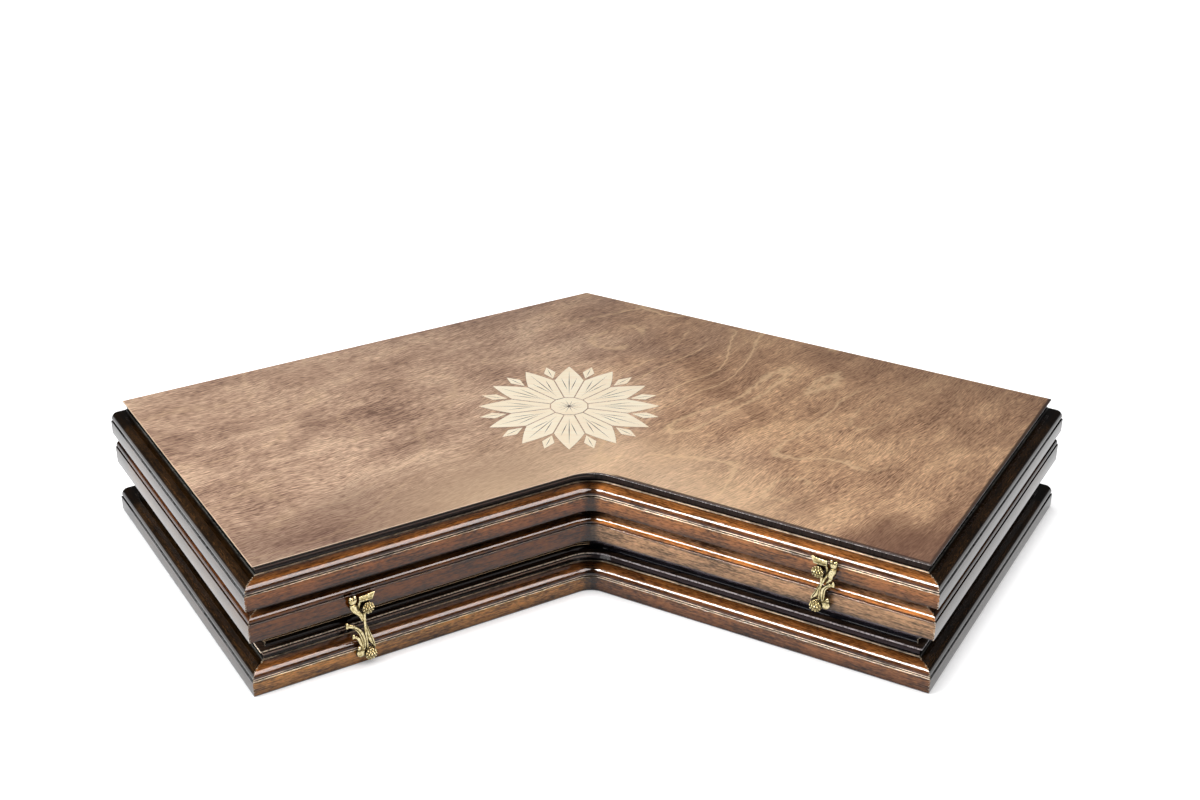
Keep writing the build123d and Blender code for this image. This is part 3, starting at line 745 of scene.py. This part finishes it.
def inlaid(mesh, points, level, veins=()):
    """One inlaid shape: a sunk burnt outline round a pale face, with engraved veins."""
    points = list(points)
    if sum(a.cross(b) for a, b in zip(points, points[1:] + points[:1])) < 0:
        points.reverse()
    verts = row(mesh, points, level)
    base = row(mesh, points, level - 0.7 * MM)
    walls(mesh, base, verts, 1)
    mesh.faces.new(base[::-1]).material_index = 1
    face = mesh.faces.new(verts)
    rim = bmesh.ops.inset_region(mesh, faces=[face], thickness=0.0006)["faces"]
    inner = bmesh.ops.inset_region(mesh, faces=[face], thickness=0.00008, depth=0.00004)["faces"]
    for strip in rim + inner:
        strip.material_index = 1
    face.material_index = 0
    for start, end, width in veins:
        run = (Vector(end) - Vector(start)).normalized()
        side = Vector((-run.y, run.x)) * width / 2
        middle = (Vector(start) + Vector(end)) / 2
        spots = [Vector(start), middle - side, Vector(end), middle + side]
        low, high = row(mesh, spots, level - 0.2 * MM), row(mesh, spots, level + 0.05 * MM)
        walls(mesh, low, high, 1)
        for cap in (high, low[::-1]):
            mesh.faces.new(cap).material_index = 1


def star():
    """Twelve-pointed star with a hub, and diamonds between its points."""
    low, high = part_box("rosette_petals")
    centre = Vector(((low.x + high.x) / 2, (low.y + high.y) / 2))
    level = upper_top - 0.00006
    half_step = radians(15)

    def placed(points, turn):
        rotation = Matrix.Rotation(turn, 2)
        return [centre + rotation @ Vector((x * MM, y * MM)) for x, y in points]

    petals, diamonds = bmesh.new(), bmesh.new()
    for index in range(12):
        turn = index * 2 * half_step
        inner = 15 * cos(half_step) + 0.8
        edge = [(r, r * tan(half_step) - 0.4 / cos(half_step)) for r in (inner, 46)]
        # The petal's sides swell a little from its widest place to its point
        for step in range(1, 8):
            t = step / 8
            edge.append((46 + 26 * t, edge[1][1] * (1 - t) + 3.2 * t * (1 - t)))
        shape = edge + [(72, 0)] + [(x, -y) for x, y in reversed(edge)]
        veins = []
        for vein in (((19, 0), (64, 0)), ((28, 1.2), (50, 6.4)), ((28, -1.2), (50, -6.4))):
            veins.append((*placed(vein, turn), 0.7 * MM))
        inlaid(petals, placed(shape, turn), level, veins)
        gem = [(51, 0), (62, 5), (73, 0), (62, -5)]
        vein = placed([(54, 0), (70, 0)], turn + half_step)
        inlaid(diamonds, placed(gem, turn + half_step), level, [(*vein, 0.5 * MM)])
    corners = [half_step + 2 * half_step * k for k in range(12)]
    spokes = [(*placed([(-11, 0), (11, 0)], turn), 0.5 * MM) for turn in corners[:6]]
    inlaid(petals, placed([(15 * cos(t), 15 * sin(t)) for t in corners], 0), level, spokes)
    for name, mesh, replaced in (("star", petals, "petals"), ("gems", diamonds, "diamonds")):
        piece(f"inlaid_{name}", mesh, [light_inlay, burnt_line_and_painted_shade], "upper_tray",
              [f"rosette_{replaced}"], 20)


panel()
star()


# Cast hook latches. Shapes are built in millimetres in the frame of the latch: across (away
# from the inner corner), up, and out of the wall.


def smooth_path(points, gap):
    """Points at even gaps on a smooth curve through the given ones, radii carried along."""
    curve = []
    padded = [points[0]] + list(points) + [points[-1]]
    for index in range(1, len(padded) - 2):
        a, b, c, d = (Vector(padded[index + k]) for k in (-1, 0, 1, 2))
        steps = max(1, int((c.xyz - b.xyz).length / gap))
        for step in range(steps):
            t = step / steps
            curve.append(0.5 * (2 * b + (c - a) * t + (2 * a - 5 * b + 4 * c - d) * t * t
                                + (3 * b - a - 3 * c + d) * t * t * t))
    return curve + [Vector(points[-1])]


def limb(mesh, points, flat=0.75):
    """Rounded limb through points of across, up, out and radius."""
    gap = 0.45 * sum(point[3] for point in points) / len(points)
    for x, y, z, radius in smooth_path(points, gap):
        matrix = Matrix.Translation((x, y, z)) @ Matrix.Diagonal((radius, radius, radius * flat, 1))
        bmesh.ops.create_icosphere(mesh, subdivisions=2, radius=1, matrix=matrix)


def dome(mesh, x, y, z, radius, flat):
    limb(mesh, [(x, y, z, radius)], flat)


def plate(mesh, points, low, high):
    base, top = row(mesh, points, low), row(mesh, points, high)
    walls(mesh, base, top)
    mesh.faces.new(base[::-1])
    mesh.faces.new(top)


def drum(mesh, radius, low, high):
    turns = [2 * pi * k / 40 for k in range(40)]
    plate(mesh, [(radius * cos(t), radius * sin(t)) for t in turns], low, high)


def head(mesh):
    """Carved rosette over the end of a stud or pivot."""
    drum(mesh, 4.6, 15.2, 15.9)
    dome(mesh, 0, 0, 15.9, 3.9, 0.3)
    dome(mesh, 0, 0, 17.0, 1.05, 0.8)
    for count, shift, reach, radius, height in ((6, 0, 2.1, 0.8, 16.75), (11, 0.5, 3.85, 0.85, 16.1)):
        for index in range(count):
            turn = 2 * pi * (index + shift) / count
            dome(mesh, reach * cos(turn), reach * sin(turn), height, radius, 0.9)


def cast_forms(mesh, span):
    """The hook as a spray of buds and leaves that grows up its stem."""
    tall = span > 34
    drum(mesh, 4.7, 12.2, 14.6)
    # Cup and ball beside the foot
    dome(mesh, 6.6, 2.0, 13.2, 4.1, 0.56)
    dome(mesh, 8.3, 6.6, 14.2, 1.8, 0.85)
    # Thin rib that runs up to the stud, and the arm round the stud
    limb(mesh, [(1.4, 4, 13.4, 1.2), (2.4, span * 0.42, 13.6, 1.1), (2.6, span - 5, 13.6, 1.15)], 0.8)
    limb(mesh, [(2.4, span - 6.6, 13.2, 1.5), (5.4, span - 3.6, 13.0, 1.5), (6.0, span + 1.5, 13.0, 1.5),
                (4.2, span + 5.2, 13.0, 1.5), (0, span + 6.2, 13.0, 1.5)], 0.6)
    # Leaf beside the rib on the inner side
    limb(mesh, [(1.9, span * 0.66, 13.2, 0.5), (0.2, span * 0.45, 13.5, 1.3), (-1.5, span * 0.27, 13.6, 2.0),
                (-3.4, 5.0, 13.4, 1.3), (-4.3, 2.9, 13.1, 0.5)], 0.5)
    # Horns on the outer side, flared like trumpets at their ends
    limb(mesh, [(4.3, 3.5, 13.6, 1.4), (4.5, span * 0.3, 14.0, 1.9), (span * 0.17, span * 0.5, 14.2, 1.9),
                (span * 0.27, span * 0.64, 14.1, 1.6), (span * 0.39, span * 0.70, 13.8, 1.5)], 0.72)
    limb(mesh, [(span * 0.41, span * 0.745, 13.8, 1.25), (span * 0.415, span * 0.68, 13.8, 1.3)], 0.9)
    if tall:
        limb(mesh, [(5.6, 4, 13.6, 1.1), (6.6, span * 0.26, 13.8, 1.5), (8.4, span * 0.38, 13.8, 1.4),
                    (span * 0.28, span * 0.43, 13.7, 1.1)], 0.75)
        limb(mesh, [(span * 0.30, span * 0.465, 13.8, 1.1), (span * 0.305, span * 0.42, 13.8, 1.1)], 0.9)
    # Bud with two lobes on top, and the thin leaf beside its tail
    tail = (4.2, span - 10.5) if tall else (6.4, span - 8.5)
    low = (6.2, span - 5) if tall else (9.2, span - 4.5)
    limb(mesh, [(*tail, 13.4, 0.8), (*low, 13.6, 1.5), (9.2, span - 0.6, 13.8, 2.4),
                (10.6, span + 2.8, 13.9, 2.9), (11.0, span + 5.0, 13.6, 2.1)], 0.62)
    dome(mesh, 10.8, span + 8.2, 13.9, 3.3, 0.72)
    dome(mesh, 9.3, span + 10.6, 14.3, 1.5, 0.8)
    dome(mesh, 12.6, span + 10.2, 14.2, 1.4, 0.8)
    limb(mesh, [(3.4, span - 9.5, 13.5, 0.9), (4.6, span - 6, 13.7, 1.0), (6.6, span - 1.8, 13.8, 0.9),
                (7.2, span + 2, 13.6, 0.5)], 0.8)
    # Flat leaf above the stud, thicker along its lower edge
    plate(mesh, [(5.8, span + 4.6), (5.8, span + 9.4), (0, span + 9.6), (-6.6, span + 10.8),
                 (-5.4, span + 7.4), (-4.1, span + 5.0), (0, span + 4.8)], 12.3, 13.9)
    limb(mesh, [(-4.0, span + 5.7, 13.6, 0.8), (0.6, span + 5.4, 13.8, 0.9),
                (5.4, span + 5.9, 13.6, 0.9)], 0.7)


def grooves(span):
    """Engraved lines of the hook: paths of across and up."""
    return [
        [(1.0, span * 0.58), (-0.8, span * 0.38), (-3.2, 6)],
        [(4.5, 6), (4.9, span * 0.32), (span * 0.2, span * 0.54), (span * 0.3, span * 0.64)],
        [(7.4, span + 5.6), (10.8, span + 5.0), (14.0, span + 5.8)],
        [(10.8, span + 11.6), (10.9, span + 9.2)],
    ]


def carve(mesh, lines, width, depth):
    """Presses thin grooves into the front of a casting."""
    places = []
    for line in lines:
        places += smooth_path([(x, y, 0, 0) for x, y in line], 0.3)
    tree = kdtree.KDTree(len(places))
    for index, place in enumerate(places):
        tree.insert((place.x, place.y, 0), index)
    tree.balance()
    for vert in mesh.verts:
        if vert.normal.z < 0.2:
            continue
        distance = tree.find((vert.co.x, vert.co.y, 0))[2]
        if distance < width:
            vert.co.z -= depth * (1 - (distance / width) ** 2)


def casting(name, mesh, lines, level, side, body, replaced):
    """Fuses the forms into one cast surface, carves it and sets it on the wall."""
    rough = mesh_object(name + "_rough", mesh)
    remesh = rough.modifiers.new("fuse", "REMESH")
    remesh.mode = "VOXEL"
    remesh.voxel_size = 0.24
    soften = rough.modifiers.new("soften", "SMOOTH")
    soften.factor = 0.5
    soften.iterations = 3
    smoothed = rough.evaluated_get(bpy.context.evaluated_depsgraph_get())
    fused = bpy.data.meshes.new_from_object(smoothed)
    bpy.data.objects.remove(rough)
    work = bmesh.new()
    work.from_mesh(fused)
    wear = work.verts.layers.float.new("wear")
    work.normal_update()
    if lines:
        carve(work, lines, 0.45, 0.4)
        work.normal_update()
    # Bright crests and dark flanks and hollows, for the wear of the brass
    values = {}
    for vert in work.verts:
        around = [edge.other_vert(vert).co for edge in vert.link_edges]
        mean = sum(around, Vector()) / len(around)
        values[vert] = (vert.co - mean).dot(vert.normal)
    for _ in range(4):
        values = {vert: (value + sum(values[edge.other_vert(vert)] for edge in vert.link_edges))
                  / (1 + len(vert.link_edges)) for vert, value in values.items()}
    for vert, value in values.items():
        crest = min(1, max(0, (vert.normal.z - 0.2) / 0.6))
        vert[wear] = min(1, max(0, (0.1 + 0.75 * crest * crest) * (1 + value * 46)))
    origin = spot(arm_length - LATCH_INSET * MM, arm_width, side)
    along = Vector((side * SIN, -COS, 0))
    out = Vector((-side * COS, -SIN, 0))
    for vert in work.verts:
        x, y, z = vert.co * MM
        place = along * x + out * z
        vert.co = (origin.x + place.x, origin.y + place.y, level + y)
    if side < 0:
        bmesh.ops.reverse_faces(work, faces=work.faces)
    piece(name, work, [cast_brass], body, [replaced], 60)


def latch(side, hook_node, pivot_node, stud_node, lower_body, hook_body, upper_body):
    def middle(node):
        low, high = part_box(node)
        return (low.z + high.z) / 2
    pivot, stud = middle(pivot_node), middle(stud_node)
    span = (stud - pivot) * 1000
    hook = bmesh.new()
    cast_forms(hook, span)
    casting(f"{hook_node}_casting", hook, grooves(span), pivot, side, hook_body, hook_node)
    for node, level, body, radius, end in (
            (pivot_node, pivot, lower_body, 3.5, 11.8), (stud_node, stud, upper_body, 3.6, 15.4)):
        rosette = bmesh.new()
        drum(rosette, radius, 10.2, end)
        drum(rosette, 1.8, 11.5, 15.4)
        head(rosette)
        casting(f"{node}_casting", rosette, [], level, side, body, node)


latch(1, "right_hook", "right_pivot", "right_stud", "middle_tray", "upper_latch", "upper_tray")
latch(-1, "left_hook", "left_pivot", "left_stud", "lower_tray", "lower_latch", "middle_tray")


# Men and dice


def man(mesh, x, y, base):
    """Turned man with a rounded rim, a groove and a dished middle."""
    profile = [(0, 5.4), (8.5, 5.4), (9.6, 5.9), (10.6, 6.2), (11.6, 5.7), (12.4, 5.5), (13.2, 5.9),
               (15.6, 6.3), (16.8, 5.9), (17.4, 4.8), (17.45, 3.2), (17.4, 1.5), (16.8, 0.4),
               (15.6, 0.05), (0, 0.05)]
    segments = 40
    rows = []
    for radius, height in profile:
        z = base + height * MM
        if radius == 0:
            rows.append([mesh.verts.new((x, y, z))])
            continue
        turns = [2 * pi * k / segments for k in range(segments)]
        rows.append(row(mesh, [(x + radius * MM * cos(t), y + radius * MM * sin(t)) for t in turns], z))
    for upper, lower in zip(rows, rows[1:]):
        for k in range(segments):
            following = (k + 1) % segments
            corners = [upper[k % len(upper)], lower[k % len(lower)], lower[following % len(lower)],
                       upper[following % len(upper)]]
            mesh.faces.new([v for n, v in enumerate(corners) if v not in corners[:n]])


def men(colour, number, material):
    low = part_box(f"{colour}_men")[0]
    back_wall, radius, gap, pitch, thickness = (value * MM for value in (12, 17.5, 0.4, 36.5, 6.4))
    inward = back_wall + radius + gap
    mesh = bmesh.new()
    for stack in range(3):
        place = 3 * stack + number - 4
        at = spot(inward / TAN + abs(place) * pitch, inward, -1 if place < 0 else 1)
        for level in range(5):
            man(mesh, at.x, at.y, low.z + level * thickness)
    piece(f"{colour}_men_turned", mesh, [material], "middle_tray",
          [f"{colour}_men"], 40)


PIPS = {1: [(0, 0)], 2: [(-1, -1), (1, 1)], 3: [(-1, -1), (0, 0), (1, 1)],
        4: [(-1, -1), (-1, 1), (1, -1), (1, 1)], 5: [(-1, -1), (-1, 1), (0, 0), (1, -1), (1, 1)],
        6: [(-1, -1), (-1, 0), (-1, 1), (1, -1), (1, 0), (1, 1)]}


def dice():
    """Rounded dice with sunk pips; opposite faces add up to seven."""
    low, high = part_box("dice")
    side = high.z - low.z
    mesh = bmesh.new()
    turns = [Matrix.Rotation(quarters * pi / 2, 4, axis) for quarters, axis in (
        (0, "X"), (1, "X"), (1, "Y"), (-1, "Y"), (-1, "X"), (2, "X"))]
    for number in range(6):
        centre = (low + high) / 2
        centre.x = low.x + side / 2 + number * (high.x - low.x - side) / 5
        lie = turns[number] @ Matrix.Rotation(number * pi / 2, 4, "Z")
        cube = bmesh.ops.create_cube(mesh, size=side, matrix=Matrix.Translation(centre))["verts"]
        edges = list(dict.fromkeys(edge for vert in cube for edge in vert.link_edges))
        bmesh.ops.bevel(mesh, geom=edges, offset=side * 0.13, segments=4, profile=0.6, affect="EDGES")
        for face_number, turn in enumerate(turns, 1):
            for a, b in PIPS[face_number]:
                out = lie @ turn @ Vector((a * side * 0.24, b * side * 0.24, side * 0.497))
                matrix = Matrix.Translation(centre + out) @ lie @ turn @ Matrix.Diagonal((1, 1, 0.25, 1))
                use_second_material(bmesh.ops.create_icosphere(
                    mesh, subdivisions=2, radius=side * 0.085, matrix=matrix))
    piece("dice_pair", mesh, [dice_plastic, pip_plastic], "middle_tray", ["dice"], 30)


men("light", 0, light_plastic)
men("dark", 1, dark_plastic)
men("red", 2, red_plastic)
dice()


# Screws of the hinges


def screws(node, side, body):
    """Three countersunk slotted screws in one leaf."""
    low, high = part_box(node)
    centre = (low + high) / 2
    # Height of the plate's middle, away from the knuckles
    if node.startswith("upper"):
        level = high.z - 8.5 * MM
    else:
        level = centre.z + HINGE_KNUCKLE / 2 * MM * (1 if "right" in node else -1)
    mesh = bmesh.new()
    turn = Matrix(((-SIN, side * COS, 0), (0, 0, 1), (side * COS, SIN, 0))).transposed().to_4x4()
    along = (centre.xy - spot(0, 0, side)).dot(Vector((side * SIN, -COS)))
    radius, slot, thickness = 2.5 * MM, 0.7 * MM, 0.34 * MM
    for shift in (-18, 0, 18):
        raised = 3 * MM if shift == 0 else 0
        at = Vector((*spot(along + shift * MM, 0, side), level + raised))
        place = Matrix.Translation(at) @ turn @ Matrix.Rotation(0.7 * shift, 4, "Z")
        # A countersink and slot floor painted dark as shade, and the two halves of the head
        use_second_material(bmesh.ops.create_cone(
            mesh, cap_ends=True, segments=28, radius1=2.9 * MM, radius2=2.9 * MM,
            depth=0.5 * MM, matrix=place @ Matrix.Translation((0, 0, -0.2 * MM))))
        for end in (-1, 1):
            turns = [pi * index / 14 for index in range(15)]
            edge = [(radius * cos(t), end * max(radius * sin(t), slot / 2)) for t in turns]
            foot = [mesh.verts.new(place @ Vector((x, y, 0))) for x, y in edge]
            top = [mesh.verts.new(place @ Vector((0.96 * x, y, thickness))) for x, y in edge]
            mesh.faces.new(foot)
            mesh.faces.new(top)
            walls(mesh, foot, top)
    piece(f"{node}_screws", mesh, [brass, burnt_line_and_painted_shade], body)


for number in (1, 2):
    screws(f"upper_leaf_{number}", -1, "upper_tray")
    screws(f"middle_leaf_left_{number}", -1, "middle_tray")
    screws(f"middle_leaf_right_{number}", 1, "middle_tray")
    screws(f"lower_leaf_{number}", 1, "lower_tray")


# Floor, light and camera

AMBIENT = 0.32


def floor_material():
    """White floor: the camera and glossy surfaces see it white, and it keeps the shadow."""
    m = Look("floor", roughness=0.9, specular=0.1)
    m.colour((0.55, 0.55, 0.56, 1))
    rays = m.new("LightPath").outputs
    seen = m.add(rays["Is Glossy Ray"], m.times(rays["Is Camera Ray"], 0.88))
    glow = m.new("Emission")
    # Near the object the glow dims with its openness, a painted contact shadow
    m.set(glow.inputs["Strength"], m.times(seen, m.openness(0.013)))
    both = m.fill(m.new("AddShader"), m.shader.outputs[0], glow.outputs[0])
    m.set(m.tree.nodes["Material Output"].inputs["Surface"], both)
    return m.material


def floor():
    mesh = bmesh.new()
    bmesh.ops.create_grid(mesh, x_segments=1, y_segments=1, size=12.0)
    plane = mesh_object("floor", mesh)
    plane.data.materials.append(floor_material())


def world():
    """Even studio light: white to the camera, and paler towards the horizon in reflections."""
    studio = bpy.data.worlds.new("studio")
    bpy.context.scene.world = studio
    studio.use_nodes = True
    m = Graph(studio.node_tree)
    background = m.tree.nodes["Background"]
    background.inputs["Color"].default_value = (1, 1, 1, 1)
    rays = m.new("LightPath").outputs
    split = m.new("SeparateXYZ")
    m.set(split.inputs[0], m.new("TexCoord").outputs["Generated"])
    sky = m.fill(m.new("MapRange"), split.outputs["Z"], 0.0, 0.16, 0.5, 0.07)
    level = AMBIENT
    for ray, strength in (("Is Glossy Ray", sky), ("Is Transmission Ray", 1.0), ("Is Camera Ray", 1.0)):
        mix = m.new("Mix")
        for socket, value in (("Factor", rays[ray]), ("A", level), ("B", strength)):
            m.set(mix.inputs[socket], value)
        level = mix.outputs["Result"]
    m.set(background.inputs["Strength"], level)


def softbox(name, place, target, size, watts, seen, tint=(1, 1, 1)):
    """Square lamp. seen limits it to the even light or to the gloss."""
    data = bpy.data.lights.new(name, "AREA")
    data.shape = "RECTANGLE"
    data.size = data.size_y = size
    data.energy = watts
    data.color = tint
    lamp = add_object(name, data)
    lamp.location = place
    lamp.rotation_euler = (Vector(target) - Vector(place)).to_track_quat("-Z", "Y").to_euler()
    lamp.visible_camera = False
    lamp.visible_glossy = seen != "even"
    lamp.visible_diffuse = seen != "gloss"


def camera():
    """Camera at the photograph's place. The picture is 1200 pixels wide."""
    focal_pixels = 1753.4
    data = bpy.data.cameras.new("camera")
    data.sensor_width = 36
    data.lens = focal_pixels / 1200 * 36
    view = add_object("camera", data)
    yaw, pitch, roll = radians(1.09), radians(27.06), radians(0.39)
    view.matrix_world = (
        Matrix.Translation((-0.0151, -1.2283, 0.7362)) @ Matrix.Rotation(-yaw, 4, "Z")
        @ Matrix.Rotation(pi / 2 - pitch, 4, "X") @ Matrix.Rotation(roll, 4, "Z"))
    bpy.context.scene.camera = view


floor()
world()
centre = (0, -0.1, 0.05)
softbox("overhead", (-0.2, -0.2, 2.5), centre, 2.0, 20, "even")
softbox("key", (-2.2, -0.95, 1.5), centre, 1.2, 60, "even")
softbox("strip", (-1.03, -0.87, 1.98), (0.2, -0.15, 0.08), 1.0, 170, "gloss")
softbox("wide", (0.86, -0.73, 1.64), (-0.2, -0.15, 0.08), 1.6, 115, "gloss", (1, 0.91, 0.89))
camera()
bpy.context.scene.view_settings.view_transform = "Standard"
